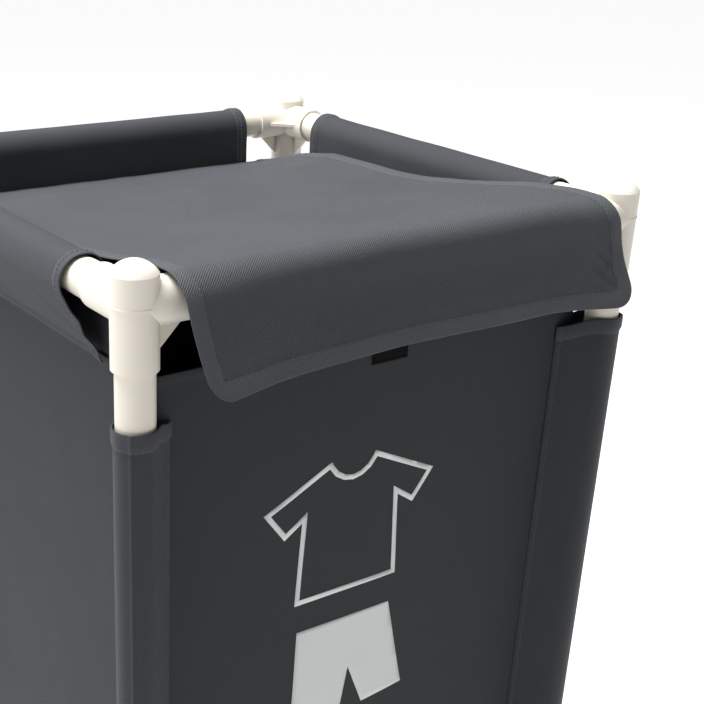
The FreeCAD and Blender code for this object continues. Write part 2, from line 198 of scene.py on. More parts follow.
def colour_between(tree, factor, low, high):
    """Colour from low to high as the factor goes from 0 to 1; each is a colour or a socket."""
    mix = tree.nodes.new("ShaderNodeMix")
    mix.data_type = "RGBA"
    for socket, value in (("Factor", factor), ("A", low), ("B", high)):
        feed(tree, mix.inputs[socket], value)
    return mix.outputs["Result"]


def add_bump(tree, shader, height, strength, depth):
    bump = tree.nodes.new("ShaderNodeBump")
    bump.inputs["Strength"].default_value = strength
    bump.inputs["Distance"].default_value = depth
    tree.links.new(height, bump.inputs["Height"])
    tree.links.new(bump.outputs["Normal"], shader.inputs["Normal"])


def cloth_material(name, dark, light, thread_width, sheen, roughness=0.62, bump=0.5):
    """Woven cloth, its threads following the piece's own UV map in metres, its hems coloured paler.
    """
    material, tree, shader = new_material(name, roughness, Sheen_Weight=sheen, Sheen_Roughness=0.45,
                                          Sheen_Tint=(0.82, 0.88, 0.95, 1),
                                          Specular_IOR_Level=0.2)
    place = tree.nodes.new("ShaderNodeUVMap")
    place.uv_map = "cloth"
    weave = tree.nodes.new("ShaderNodeGroup")
    weave.node_tree = WOVEN
    weave.inputs["Thread Width"].default_value = thread_width
    tree.links.new(place.outputs["UV"], weave.inputs["Place"])
    shading = weave.outputs["Shading"]
    cloudy = math_node(tree, "MULTIPLY_ADD", shading, 0.9, -0.2)
    factor = math_node(tree, "ADD", math_node(tree, "MULTIPLY", weave.outputs["Threads"], 0.7),
                       math_node(tree, "MULTIPLY", cloudy, 0.45))
    factor.node.use_clamp = True
    hem = tree.nodes.new("ShaderNodeAttribute")
    hem.attribute_name = "hem"
    woven = colour_between(tree, factor, opaque(dark), opaque(light))
    # paler colour mixed over the hems, a quarter lighter than the light threads
    paler_hem = opaque(1.25 * c for c in light)
    colour = colour_between(tree, math_node(tree, "MULTIPLY", hem.outputs["Fac"], 0.28), woven, paler_hem)
    tree.links.new(colour, shader.inputs["Base Color"])
    tree.links.new(math_node(tree, "MULTIPLY_ADD", shading, 0.22, roughness - 0.11),
                   shader.inputs["Roughness"])
    add_bump(tree, shader, weave.outputs["Height"], bump, 0.00022)
    return material


def plastic_material(name, dark, light, roughness):
    """Ivory plastic with a soft gloss."""
    material, tree, shader = new_material(name, roughness, Specular_IOR_Level=0.5,
                                          Subsurface_Weight=0.12, Subsurface_Scale=0.004)
    place = tree.nodes.new("ShaderNodeTexCoord")
    surface = tree.nodes.new("ShaderNodeGroup")
    surface.node_tree = MOULDED
    tree.links.new(place.outputs["Object"], surface.inputs["Place"])
    tone = surface.outputs["Tone"]
    tree.links.new(colour_between(tree, tone, opaque(dark), opaque(light)),
                   shader.inputs["Base Color"])
    tree.links.new(math_node(tree, "MULTIPLY_ADD", tone, 0.14, roughness - 0.07),
                   shader.inputs["Roughness"])
    add_bump(tree, shader, surface.outputs["Height"], 0.12, 0.0001)
    return material


def pile_material(name, dark, light):
    """Black loop pile of a hook-and-loop patch."""
    material, tree, shader = new_material(name, 0.9, Specular_IOR_Level=0.08)
    place = tree.nodes.new("ShaderNodeTexCoord")
    loops = tree.nodes.new("ShaderNodeTexVoronoi")
    loops.inputs["Scale"].default_value = 1500.0
    tree.links.new(place.outputs["Object"], loops.inputs["Vector"])
    colour = colour_between(tree, loops.outputs["Distance"], opaque(light), opaque(dark))
    tree.links.new(colour, shader.inputs["Base Color"])
    add_bump(tree, shader, loops.outputs["Distance"], 0.8, 0.0006)
    return material


YARN = 0.00062           # width of a bag thread
LID_YARN = 0.00080
SEWING_YARN = 0.0003
BAG_CLOTH = cloth_material("bag_cloth", (0.016, 0.0175, 0.0205), (0.042, 0.045, 0.051), YARN, 0.04)
SLEEVE_CLOTH = cloth_material("sleeve_cloth", (0.020, 0.0215, 0.025), (0.053, 0.056, 0.063),
                              YARN, 0.10)
LID_CLOTH = cloth_material("lid_cloth", (0.031, 0.0335, 0.038), (0.080, 0.085, 0.093),
                           LID_YARN, 0.09, bump=0.8)
FLOOR_CLOTH = cloth_material("floor_cloth", (0.030, 0.032, 0.037), (0.078, 0.082, 0.092),
                             YARN, 0.06)
THREAD = cloth_material("sewing_thread", (0.075, 0.080, 0.088), (0.15, 0.16, 0.17),
                        SEWING_YARN, 0.1)
INK = cloth_material("print_ink", (0.66, 0.67, 0.67), (0.78, 0.79, 0.79), YARN, 0.0, 0.7, 0.35)
FITTING_PLASTIC = plastic_material("fitting_plastic", (0.72, 0.665, 0.58), (0.80, 0.75, 0.67), 0.36)
TUBE_PLASTIC = plastic_material("tube_plastic", (0.71, 0.65, 0.56), (0.785, 0.73, 0.64), 0.32)
PILE = pile_material("hook_and_loop", (0.003, 0.003, 0.003), (0.012, 0.012, 0.013))


# ---- making pieces ---------------------------------------------------------------------------
def clear_selection():
    bpy.ops.object.select_all(action="DESELECT")


def take(obj):
    """Make one object the only selected and the active one."""
    clear_selection()
    obj.select_set(True)
    bpy.context.view_layer.objects.active = obj


def apply_modifiers(obj):
    take(obj)
    for modifier in list(obj.modifiers):
        bpy.ops.object.modifier_apply(modifier=modifier.name)


def piece_from_mesh(name, mesh, material):
    """Smooth-shaded piece with one material."""
    obj = bpy.data.objects.new(name, mesh)
    bpy.context.scene.collection.objects.link(obj)
    mesh.materials.append(material)
    mesh.polygons.foreach_set("use_smooth", [True] * len(mesh.polygons))
    return obj


def thicken(obj, thickness, even_walls=True):
    """Give a sheet its thickness on the inner side."""
    solid = obj.modifiers.new("thickness", "SOLIDIFY")
    solid.thickness = thickness
    solid.offset = -1
    solid.use_even_offset = even_walls
    apply_modifiers(obj)


def join_pieces(name, pieces):
    """One piece from several of the same finish."""
    clear_selection()
    for obj in pieces:
        obj.select_set(True)
    bpy.context.view_layer.objects.active = pieces[0]
    bpy.ops.object.join()
    pieces[0].name = name
    pieces[0].data.name = name
    return pieces[0]


def lay_cloth_map(mesh, place):
    """UV map in metres, along which the threads run; place gives a vertex's (u, v)."""
    layer = mesh.uv_layers.get("cloth") or mesh.uv_layers.new(name="cloth")
    mesh.uv_layers.active = layer
    for loop in mesh.loops:
        layer.data[loop.index].uv = place(mesh.vertices[loop.vertex_index])


# rows of points beside a hem's inner edge, where its stitches pull the cloth in
HEM_ROWS = (-0.0018, -0.0010, -0.0004, 0.0003, 0.0010, 0.0022, 0.0045)
HEM_EDGE_ROW = 0.0014
EDGE_ROW = 0.0005


def stations(length, step, hem_start=0.0, hem_end=0.0):
    """Distances along a sheet, close together at an edge and at a hem's stitch line."""
    marks = {0.0, EDGE_ROW, length - EDGE_ROW, length}
    for hem, from_end in ((hem_start, False), (hem_end, True)):
        if hem:
            rows = [HEM_EDGE_ROW, hem * 0.5] + [hem + row for row in HEM_ROWS]
            marks.update(length - row if from_end else row for row in rows)
    start = (hem_start + HEM_ROWS[-1] if hem_start else EDGE_ROW) + step * 0.4
    finish = length - (hem_end + HEM_ROWS[-1] if hem_end else EDGE_ROW) - step * 0.4
    count = max(1, round((finish - start) / step))
    marks.update(start + (finish - start) * k / count for k in range(count + 1))
    return sorted(marks)


def hem_height(distance, hem, along, seed=0.0):
    """How far a turned hem stands out: doubled cloth, pulled in and puckered at its stitches."""
    if distance > hem + 0.012:
        return 0.0
    doubled = 0.0010 * ease((hem + 0.0009 - distance) / 0.0012)
    rounded = -0.0004 * ease((0.0009 - distance) / 0.0009)
    groove = -0.0009 * math.exp(-((distance - hem + 0.0004) / 0.0009) ** 2)
    fade = math.exp(-((distance - hem * 0.9) / (hem * 0.55)) ** 2)
    pucker = 0.00040 * soft_noise(along * 170, distance * 60, seed) * fade
    return doubled + rounded + groove + pucker


def grid_faces(wide, tall):
    """Faces of a grid of points, wide by tall, numbered row by row."""
    return [(r * wide + c, r * wide + c + 1, (r + 1) * wide + c + 1, (r + 1) * wide + c)
            for r in range(tall - 1) for c in range(wide - 1)]


def cloth_sheet(name, us, vs, point, relief, facing, material, thickness=CLOTH,
                hem_at=None):
    """Sheet of cloth over flat distances us by vs, laid out by point and lifted by relief.

    hem_at gives 1 on a hem and 0 elsewhere, where the cloth is coloured paler.
    """
    places = [(u, v) for v in vs for u in us]
    mesh = bpy.data.meshes.new(name)
    mesh.from_pydata([point(u, v) for u, v in places], [], grid_faces(len(us), len(vs)))
    centre = mesh.polygons[(len(vs) // 2) * (len(us) - 1) + len(us) // 2]
    if centre.normal.dot(Vector(facing)) < 0:
        mesh.flip_normals()
    lay_cloth_map(mesh, lambda vertex: places[vertex.index])
    paler_hem = mesh.attributes.new("hem", "FLOAT", "POINT")
    if hem_at:
        paler_hem.data.foreach_set("value", [hem_at(u, v) for u, v in places])
    mesh.update()
    normals = [vertex.normal.copy() for vertex in mesh.vertices]
    for vertex, normal, (u, v) in zip(mesh.vertices, normals, places):
        vertex.co += normal * relief(u, v)
    obj = piece_from_mesh(name, mesh, material)
    thicken(obj, thickness)
    return obj


# ---- lines and stitches ----------------------------------------------------------------------
class Line:
    """A curve that can be asked for the point at a distance along it."""

    PAST_END = 0.002     # how far its end stretches can be followed beyond the ends

    def __init__(self, points):
        self.points = points
        self.reach = [0.0]
        for one, two in zip(points, points[1:]):
            self.reach.append(self.reach[-1] + (two - one).length)
        self.length = self.reach[-1]

    def stretch(self, distance):
        """Which stretch between two points holds a distance, and the share of it that is passed."""
        low, high = 0, len(self.points) - 2
        while low < high:
            k = (low + high + 1) // 2
            if self.reach[k] <= distance:
                low = k
            else:
                high = k - 1
        length = max(self.reach[low + 1] - self.reach[low], 1e-9)
        return low, (distance - self.reach[low]) / length

    def at(self, distance):
        distance = min(max(distance, -self.PAST_END), self.length + self.PAST_END)
        k, share = self.stretch(distance)
        return self.points[k].lerp(self.points[k + 1], share)

    def where(self, test):
        """Distance to the first point that passes a test."""
        return next(d for p, d in zip(self.points, self.reach) if test(p))


def even(start, finish, step=0.0025):
    """Distances from start to finish in equal steps."""
    count = max(2, math.ceil(abs(finish - start) / step))
    return [start + (finish - start) * k / count for k in range(count + 1)]


def surface_path(point, relief, places, facing_sign=1):
    """Points and normals of a sheet's outer face along a list of flat places."""
    path = []
    nearby = 0.0006
    for u, v in places:
        here = Vector(point(u, v))
        du = Vector(point(u + nearby, v)) - Vector(point(u - nearby, v))
        dv = Vector(point(u, v + nearby)) - Vector(point(u, v - nearby))
        normal = du.cross(dv).normalized() * facing_sign
        path.append((here + normal * (relief(u, v) + THREAD_RADIUS * 0.3), normal))
    return path


def sign_facing(point, relief, place, facing):
    """1 where a sheet's u and v make a normal on its facing side, and -1 where they don't."""
    normal = surface_path(point, relief, [place])[0][1]
    return 1 if normal.dot(Vector(facing)) > 0 else -1


# rings of one short thread: share of its length, share of its radius, rise in radii
THREAD_RINGS = ((0, 0.45, -0.9), (0.2, 0.95, 0.1), (0.5, 1.0, 0.45), (0.8, 0.95, 0.1),
                (1, 0.45, -0.9))
THREAD_SIDES = 5


def thread_points(seam, normals, start):
    """Points of one short thread that starts at a distance along a seam."""
    def along(distance):
        k, share = seam.stretch(min(max(distance, 0.0), seam.length))
        return (seam.points[k].lerp(seam.points[k + 1], share),
                normals[k].lerp(normals[k + 1], share))

    points = []
    nearby = 0.0004
    for share, radius, rise in THREAD_RINGS:
        distance = start + share * STITCH_LENGTH
        here, out = along(distance)
        out = out.normalized()
        ahead = along(distance + nearby)[0] - along(distance - nearby)[0]
        side = ahead.normalized().cross(out).normalized()
        for k in range(THREAD_SIDES):
            turn = 2 * math.pi * k / THREAD_SIDES
            points.append(here + out * THREAD_RADIUS * (rise + radius * math.sin(turn))
                          + side * THREAD_RADIUS * radius * math.cos(turn))
    return points


def thread_faces(base):
    """Faces of one short thread whose points start at base: its sides, then its two ends."""
    faces = []
    last = len(THREAD_RINGS) - 1
    for ring in range(last):
        for k in range(THREAD_SIDES):
            a = base + ring * THREAD_SIDES + k
            b = base + ring * THREAD_SIDES + (k + 1) % THREAD_SIDES
            faces.append((a, b, b + THREAD_SIDES, a + THREAD_SIDES))
    faces.append(tuple(base + k for k in reversed(range(THREAD_SIDES))))
    faces.append(tuple(base + last * THREAD_SIDES + k for k in range(THREAD_SIDES)))
    return faces


def stitch_row(name, path, material=THREAD):
    """Row of short threads along a path of (point, outward normal) pairs."""
    seam = Line([point for point, _ in path])
    normals = [normal for _, normal in path]
    points, faces = [], []
    start = 0.0006
    while start + STITCH_LENGTH < seam.length:
        faces += thread_faces(len(points))
        points += thread_points(seam, normals, start)
        start += STITCH_PITCH
    mesh = bpy.data.meshes.new(name)
    mesh.from_pydata(points, [], faces)
    lay_cloth_map(mesh, lambda vertex: (vertex.co.x + vertex.co.y, vertex.co.z))
    work = bmesh.new()
    work.from_mesh(mesh)
    bmesh.ops.recalc_face_normals(work, faces=work.faces)
    work.to_mesh(mesh)
    work.free()
    return piece_from_mesh(name, mesh, material)


def stitching(name, rows, point, relief, sign):
    """One piece of stitching along several rows of flat places on a sheet."""
    return join_pieces(name, [
        stitch_row("%s_row_%d" % (name, k), surface_path(point, relief, row, sign))
        for k, row in enumerate(rows)])


# ---- cloth that wraps a tube -----------------------------------------------------------------
class Wrap(Line):
    """Section of a strip that leaves a seam, wraps round a tube and comes back to a seam."""

    def __init__(self, radius, start, finish, side, drop=0.0):
        """Seam points are (inward, up) from the tube's axis; side is where it leaves, +1 or -1."""
        centre = Vector((0, -drop))
        first, last = (self.touching(centre, radius, seam, hand)
                       for seam, hand in ((start, side), (finish, -side)))
        turn = side * (last - first) % (2 * math.pi)
        if turn < 0.6 * math.pi:
            turn += 2 * math.pi
        arc = [centre + Vector((math.cos(t), math.sin(t))) * radius
               for t in (first + side * turn * k / 40 for k in range(41))]
        super().__init__([Vector(start)] + arc + [Vector(finish)])
        self.tail_start = self.reach[1]
        self.tail_end = self.length - self.reach[-2]

    @staticmethod
    def touching(centre, radius, seam, hand):
        """Angle round the tube at which a strip from a seam point first lies on it."""
        away = Vector(seam) - centre
        return math.atan2(away.y, away.x) + hand * math.acos(radius / away.length)

    def slack(self, distance):
        """0 where the cloth lies on the tube, 1 in the middle of a free tail."""
        if distance < self.tail_start:
            return math.sin(math.pi * distance / self.tail_start)
        if distance > self.length - self.tail_end:
            return math.sin(math.pi * (self.length - distance) / self.tail_end)
        return 0.0


def rail_section(level):
    """A rail sleeve's section, the height of its rail, how far it sags and its facing."""
    low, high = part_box("%s_sleeve_front" % level)
    radius = -low.y - RAIL_AWAY
    if level == "top":
        sag = TOP_RAIL - (high.z - radius)
        wrap = Wrap(radius, (SETBACK - 0.0022, low.z - TOP_RAIL + 0.0012),
                    (SETBACK + 0.0012, PANEL_TOP - TOP_RAIL), -1, sag)
        return wrap, TOP_RAIL, sag, UP
    wrap = Wrap(radius, (SETBACK - 0.0006, high.z - BOTTOM_RAIL - 0.0012),
                (SETBACK + 0.0006, PANEL_FOOT - BOTTOM_RAIL), 1)
    return wrap, BOTTOM_RAIL, 0.0, -UP


def rail_sleeve(level, side, seed):
    """Sleeve of bag cloth round a rail, hemmed at both mouths and sewn along its seam."""
    node = "%s_sleeve_%s" % (level, side)
    low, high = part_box("%s_sleeve_front" % level)
    length = high.x - low.x
    wrap, axis, sag, facing = rail_section(level)
    top = level == "top"
    loose = 1.0 if top else 0.45
    turning = SEAM_TURNING if top else 0.005

    def point(a, b):
        inward, up = wrap.at(b)
        mouth = min(a, length - a)
        flare = 0.0006 * loose * math.exp(-mouth / 0.012) * (0.4 + wrap.slack(b))
        stray = 0.0009 * loose * soft_noise(b * 30, 1.0, seed) * math.exp(-mouth / 0.010)
        along = a - length / 2 + (stray if a > length / 2 else -stray)
        out = Vector((inward, up + sag)).normalized() * flare
        return turned((along, -RAIL_AWAY + inward + out.x, axis + up + out.y), TURNS[side])

    def relief(a, b):
        mouth = min(a, length - a)
        free = wrap.slack(b)
        folds = 0.0011 * soft_noise(a * 26 + b * 14, b * 30, seed + 3) * (0.25 + free)
        drags = (0.0008 * math.sin((a * 0.8 + b * 1.5) / 0.0046 + seed) * free
                 * math.exp(-mouth / 0.035))
        inner = ease((b - wrap.tail_start - 0.035) / 0.01) if top else 0.0
        return ((folds + drags) * loose * (1 - 0.8 * inner) - 0.0004 * inner
                + hem_height(mouth, HEM, b, seed) * (1 - 0.6 * inner)
                + hem_height(b, turning, a, seed))

    obj = cloth_sheet(node + "_cloth", stations(length, 0.0042, HEM, HEM),
                      stations(wrap.length, 0.0026, SEAM_TURNING), point, relief, facing,
                      SLEEVE_CLOTH,
                      hem_at=lambda a, b: ease((HEM - min(a, length - a)) / 0.001))
    sign = sign_facing(point, relief, (length / 2, wrap.length / 2), facing)
    rows = [[(a, b) for b in even(0.002, wrap.length - 0.002)]
            for inset in (HEM - STITCH_IN, HEM - 0.0042) for a in (inset, length - inset)]
    rows.append([(a, 0.0050) for a in even(0.002, length - 0.002)])
    stitches = stitching(node + "_stitches", rows, point, relief, sign)
    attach(obj, "frame")
    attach(stitches, "frame")
    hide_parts(node)


def post_sleeve(corner, seed):
    """Strip of bag cloth that holds the bag's corner to its post, with a pressed fold outside."""
    node = "post_sleeve_" + corner
    low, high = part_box("post_sleeve_front_left")
    height = high.z - low.z
    radius = abs(RAIL_AWAY + low.x)
    seam = high.x + RAIL_AWAY - 0.0005
    wrap = Wrap(radius, (seam, SETBACK - 0.0006), (SETBACK - 0.0006, seam), -1)
    turn = CORNER_TURNS[corner]
    ridge = wrap.length / 2 - 0.0008

    def point(a, b):
        inward_x, inward_y = wrap.at(a)
        tail = ease(1 - min(a, wrap.length - a) / wrap.tail_start)
        dip = 0.008 * tail * ease((b - height + 0.06) / 0.06)
        return turned((-RAIL_AWAY + inward_x, -RAIL_AWAY + inward_y, low.z + b - dip), turn)

    def relief(a, b):
        fold = 0.0009 * math.exp(-((a - ridge) / 0.0011) ** 2)
        creases = 0.0006 * soft_noise(a * 60, b * 11, seed) * (0.25 + wrap.slack(a))
        drags = 0.0005 * soft_noise(a * 90 + b * 25, b * 45, seed + 5) * wrap.slack(a)
        end = min(b, height - b)
        edge = min(a, wrap.length - a)
        return (fold + creases + drags + hem_height(end, POST_HEM, a, seed)
                + 0.6 * hem_height(edge, POST_SEAM, b, seed))

    us = sorted(set(stations(wrap.length, 0.0022, POST_SEAM, POST_SEAM))
                | {ridge + k * 0.0006 for k in range(-4, 5)})
    vs = stations(height, 0.006, POST_HEM, POST_HEM)
    facing = turned((-1, -1, 0), turn)
    obj = cloth_sheet(node + "_cloth", us, vs, point, relief, facing, SLEEVE_CLOTH,
                      hem_at=lambda a, b: ease((POST_HEM - min(b, height - b)) / 0.001))
    sign = sign_facing(point, relief, (wrap.length / 2 + 0.003, height / 2), facing)
    inset = POST_HEM - STITCH_IN
    rows = [[(a, b) for a in even(0.001, wrap.length - 0.001)] for b in (inset, height - inset)]
    inset = POST_SEAM - 0.0004
    rows += [[(a, b) for b in even(0.002, height - 0.002)] for a in (inset, wrap.length - inset)]
    stitches = stitching(node + "_stitches", rows, point, relief, sign)
    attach(obj, "frame")
    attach(stitches, "frame")
    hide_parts(node)


# ---- bag -------------------------------------------------------------------------------------
PANEL_HEIGHT = PANEL_TOP - PANEL_FOOT
BULGE = 0.0032           # how far a filled-out panel stands out at its middle


def panel_out(across, up, seed):
    """How far a panel stands out from its flat place; across runs from the middle."""
    side = math.cos(math.pi * across / (2 * PANEL_HALF)) if abs(across) < PANEL_HALF else 0.0
    rise = min(1.0, max(0.0, up / PANEL_HEIGHT))
    free = max(0.0, side) ** 0.7 * math.sin(math.pi * rise) ** 0.6
    slack = 0.0012 * soft_noise(across * 7, up * 5, seed) + 0.0006 * soft_noise(
        across * 22 + up * 9, up * 14, seed + 2)
    return BULGE * free + slack * min(1.0, free * 2)


def panel_point(side, across, up, lift=0.0):
    """Point on a panel's outer face, lifted off it by a little."""
    out = panel_out(across, up, TURNS[side] + 1.0) + lift
    return turned((across, -PANEL_AWAY - out, PANEL_FOOT + up), TURNS[side])


def bag_panel(side):
    """Side panel, held flat at its edges and hemmed along its top."""
    node = "bag_panel_" + side
    half = PANEL_HALF if side in ("front", "back") else PANEL_HALF - 0.0010
    facing = turned((0, -1, 0), TURNS[side])

    def point(a, b):
        return panel_point(side, a - half, b)

    def relief(a, b):
        return 0.5 * hem_height(PANEL_HEIGHT - b, PANEL_HEM, a, 4.0)

    obj = cloth_sheet(node + "_cloth", stations(2 * half, 0.0075),
                      stations(PANEL_HEIGHT, 0.0085, 0, PANEL_HEM),
                      point, relief, facing, BAG_CLOTH)
    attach(obj, "frame")
    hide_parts(node)


def bag_floor():
    """Stiff floor board covered in bag cloth, its edges rounded over."""
    low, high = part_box("bag_floor")
    clear_selection()
    bpy.ops.mesh.primitive_cube_add(size=1, location=(low + high) / 2)
    board = bpy.context.object
    board.name = "bag_floor_board"
    board.scale = high - low
    bpy.ops.object.transform_apply(location=True, rotation=True, scale=True)
    bpy.ops.object.mode_set(mode="EDIT")
    bpy.ops.mesh.select_all(action="SELECT")
    bpy.ops.mesh.bevel(offset=0.0007, segments=2, affect="EDGES")
    bpy.ops.object.mode_set(mode="OBJECT")
    lay_cloth_map(board.data, lambda vertex: (vertex.co.x, vertex.co.y))
    board.data.materials.clear()
    board.data.materials.append(FLOOR_CLOTH)
    bpy.ops.object.shade_smooth_by_angle(angle=math.radians(35))
    inset = 0.008
    x, y, z = high.x - inset, high.y - inset, high.z
    corners = [Vector((x, y, z)), Vector((-x, y, z)), Vector((-x, -y, z)), Vector((x, -y, z)),
               Vector((x, y, z))]
    ring = [(one.lerp(two, k / 60), UP) for one, two in zip(corners, corners[1:])
            for k in range(60)]
    stitches = stitch_row("bag_floor_stitches", ring)
    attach(board, "frame")
    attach(stitches, "frame")
    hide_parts("bag_floor")


# ---- lid -------------------------------------------------------------------------------------
LID_LOW, LID_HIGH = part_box("lid_panel")
FLAP_LOW, FLAP_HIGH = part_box("lid_front_flap")
LID_HALF = LID_HIGH.x
FOLD_Y = LID_LOW.y
HEM_Z = FLAP_LOW.z
FOLD_OUT = FOLD_Y - FLAP_LOW.y
LID_TAPER = 0.0165       # how far each side is drawn in at the back seam
LID_TAPER_IN = 0.065     # distance from the back seam over which it is
# the lid's top face from its back seam to its hem, as (y, z): up to the front rail, round, down
LID_LINE = [(LID_HIGH.y - 0.0006, LID_LOW.z + 0.0010), (0.1500, 0.5535), (0.1203, 0.5606),
            (0.062, 0.5642), (0.0, 0.5656), (-0.050, 0.5722), (-0.091, 0.5792), (-0.135, 0.5866),
            (-0.165, 0.5915)]
LID_LINE += [(FOLD_Y + FOLD_OUT * math.cos(t), TOP_RAIL + FOLD_OUT * math.sin(t))
             for t in (math.radians(d) for d in (92, 110, 130, 150, 170))]
LID_LINE += [(FLAP_LOW.y - 0.0003, 0.566), (FLAP_LOW.y, 0.553), (FLAP_LOW.y + 0.0002, 0.540),
             (FLAP_LOW.y, HEM_Z)]


def smooth_line(points, steps=8):
    """Points of a smooth curve through the given ones."""
    made = []
    ends = [points[0]] + points + [points[-1]]
    for k in range(len(points) - 1):
        p0, p1, p2, p3 = (Vector(p) for p in ends[k:k + 4])
        for j in range(steps):
            t = j / steps
            made.append(0.5 * (2 * p1 + (p2 - p0) * t + (2 * p0 - 5 * p1 + 4 * p2 - p3) * t * t
                               + (3 * p1 - p0 - 3 * p2 + p3) * t ** 3))
    return made + [Vector(points[-1])]


LID_PATH = Line(smooth_line(LID_LINE))
FOLD_AT = LID_PATH.where(lambda p: p.x <= FOLD_Y)


def round_corner(across, down, radius):
    """Distances in from a sheet's corner, drawn in so that the corner is round."""
    if across >= radius or down >= radius:
        return across, down
    dx, dy = radius - across, radius - down
    pull = max(dx, dy) / math.hypot(dx, dy)
    return radius - dx * pull, radius - dy * pull


def lying_cloth(x, y, z, side, b):
    """Soft waves and a sag in the part that lies on the frame, and its lean on the left sleeve."""
    top = ease(b / 0.05) * ease((FOLD_AT + 0.004 - b) / 0.07)
    z += top * (0.0030 * soft_noise(x * 8, y * 7, 1.3) + 0.0012 * soft_noise(x * 21, y * 18, 2.2))
    leaning = ease((-side - 0.80) / 0.20) * ease((b - 0.05) / 0.07)
    z += top * 0.0012 * leaning
    x -= 0.0050 * leaning * ease((FOLD_AT - 0.012 - b) / 0.05)
    z += top * 0.0025 * ease((side - 0.82) / 0.18)
    z -= top * 0.0030 * math.cos(side * math.pi / 2)
    z -= 0.0030 * math.sin(math.pi * min(1.0, b / 0.075))
    return x, z


def hanging_cloth(x, y, z, side, b):
    """The flap's hollow, its turned-out corners and its ripples, from the rail to the hem."""
    fall = max(0.0, b - FOLD_AT) / (LID_PATH.length - FOLD_AT)
    over = ease((b - FOLD_AT + 0.03) / 0.05)
    past_sleeve = ease((-side - 0.72) / 0.10) + ease((side - 0.72) / 0.10)
    z -= 0.0014 * past_sleeve * over * (1 - fall)
    left = ease((-side - 0.40) / 0.60)
    right = ease((side - 0.60) / 0.40)
    x -= 0.0050 * ease((side - 0.75) / 0.25) * math.exp(-((b - FOLD_AT - 0.004) / 0.022) ** 2)
    hollow = math.sin(math.pi * fall) ** 2 * (1 - 0.8 * left)
    y += 0.0045 * hollow - 0.0050 * fall ** 2
    x += 0.010 * left ** 1.5 * fall ** 1.6 + 0.0085 * right * fall
    y -= 0.0105 * left ** 1.6 * fall ** 1.5 + 0.0050 * right * fall
    y -= fall * (0.0022 * math.sin(side * 4.2 + 0.4) ** 2 + 0.0016 * soft_noise(x * 16, z * 10, 5.1))
    y += 0.0012 * right * math.sin(fall * 9.0 + side * 16) * fall
    z += 0.0035 * (1 - left) * (1 - 0.8 * right) * fall ** 2
    z += 0.0020 * left * fall + 0.0016 * math.cos(side * 2.6) * fall
    return Vector((x, y, z))


def lid_point(a, b):
    """The lid's upper face: a across from its left edge, b along from its back seam."""
    if a < LID_HALF:
        a, hem = round_corner(a, LID_PATH.length - b, 0.013)
    else:
        far, hem = round_corner(2 * LID_HALF - a, LID_PATH.length - b, 0.015)
        a = 2 * LID_HALF - far
    b = LID_PATH.length - hem
    y, z = LID_PATH.at(b)
    side = a / LID_HALF - 1
    x = side * (LID_HALF - LID_TAPER * ease(1 - b / LID_TAPER_IN))
    x, z = lying_cloth(x, y, z, side, b)
    return hanging_cloth(x, y, z, side, b)


def lid_relief(a, b):
    """Fine creases, a tuck at the flap's lower right corner, and the hem."""
    edge = min(a, 2 * LID_HALF - a)
    hem = LID_PATH.length - b
    near = min(edge, hem)
    along = b if edge < hem else a
    crumple = 0.00055 * soft_noise(a * 38 + b * 10, b * 30, 8.4)
    tuck = (0.0011 * math.exp(-(((a - 2 * LID_HALF + 0.020) / 0.012) ** 2))
            * math.exp(-((hem - 0.026) / 0.018) ** 2) * math.sin((a + hem) / 0.0021))
    return crumple + tuck + hem_height(near, LID_HEM, along, 6.0)


def lid():
    """Hemmed lid, sewn inside the back sleeve, laid over the front rail and hanging in front."""
    width, length = 2 * LID_HALF, LID_PATH.length
    obj = cloth_sheet("lid_cloth_sheet", stations(width, 0.0042, LID_HEM, LID_HEM),
                      stations(length, 0.0036, 0, LID_HEM), lid_point, lid_relief, UP, LID_CLOTH,
                      thickness=LID_CLOTH_THICK,
                      hem_at=lambda a, b: ease((LID_HEM - min(a, width - a, length - b)) / 0.001))
    sign = sign_facing(lid_point, lid_relief, (LID_HALF, 0.2), UP)
    inset = LID_HEM - STITCH_IN
    rows = [[(inset, b) for b in even(0.003, length - inset)],
            [(a, length - inset) for a in even(inset, width - inset)],
            [(width - inset, b) for b in even(0.003, length - inset)],
            [(a, 0.004) for a in even(0.004, width - 0.004)]]
    stitches = stitching("lid_stitches", rows, lid_point, lid_relief, sign)
    for piece in (obj, stitches):
        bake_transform(piece)
    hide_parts("lid_panel", "lid_front_flap")


# ---- closure and prints ----------------------------------------------------------------------
PATCH_STITCH = 0.0021    # from a patch's edge to its stitches
PATCH_BORDER = 0.0025


def patch(name, node, body, place):
    """Hook-and-loop patch: a thin pile pad, rounded at its edge, sewn round its border."""
    low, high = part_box(node)
    wide, tall = high.x - low.x, high.z - low.z
    thick = high.y - low.y
    us = stations(wide, 0.0022, PATCH_BORDER, PATCH_BORDER)
    vs = stations(tall, 0.0022, PATCH_BORDER, PATCH_BORDER)

    def relief(a, b):
        edge = min(a, wide - a, b, tall - b)
        pile = 0.00025 * soft_noise(a * 700, b * 700, 9.0)
        return (thick - 0.0002) * ease(edge / 0.0010) + pile * ease(edge / 0.002) - (
            0.0004 * math.exp(-((edge - PATCH_STITCH) / 0.0006) ** 2))

    def point(a, b):
        return place(low.x + a, low.z + b)

    facing = place(low.x, low.z, 1.0) - place(low.x, low.z, 0.0)
    obj = cloth_sheet(name, us, vs, point, relief, facing, PILE, thickness=0.0005)
    sign = sign_facing(point, relief, (wide / 2, tall / 2), facing)
    inset = PATCH_STITCH
    border = ([(a, inset) for a in even(inset, wide - inset)]
              + [(wide - inset, b) for b in even(inset, tall - inset)]
              + [(a, tall - inset) for a in even(wide - inset, inset)]
              + [(inset, b) for b in even(tall - inset, inset)])
    stitches = stitch_row(name + "_stitches", surface_path(point, relief, border, sign), PILE)
    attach(obj, body)
    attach(stitches, body)
    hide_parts(node)


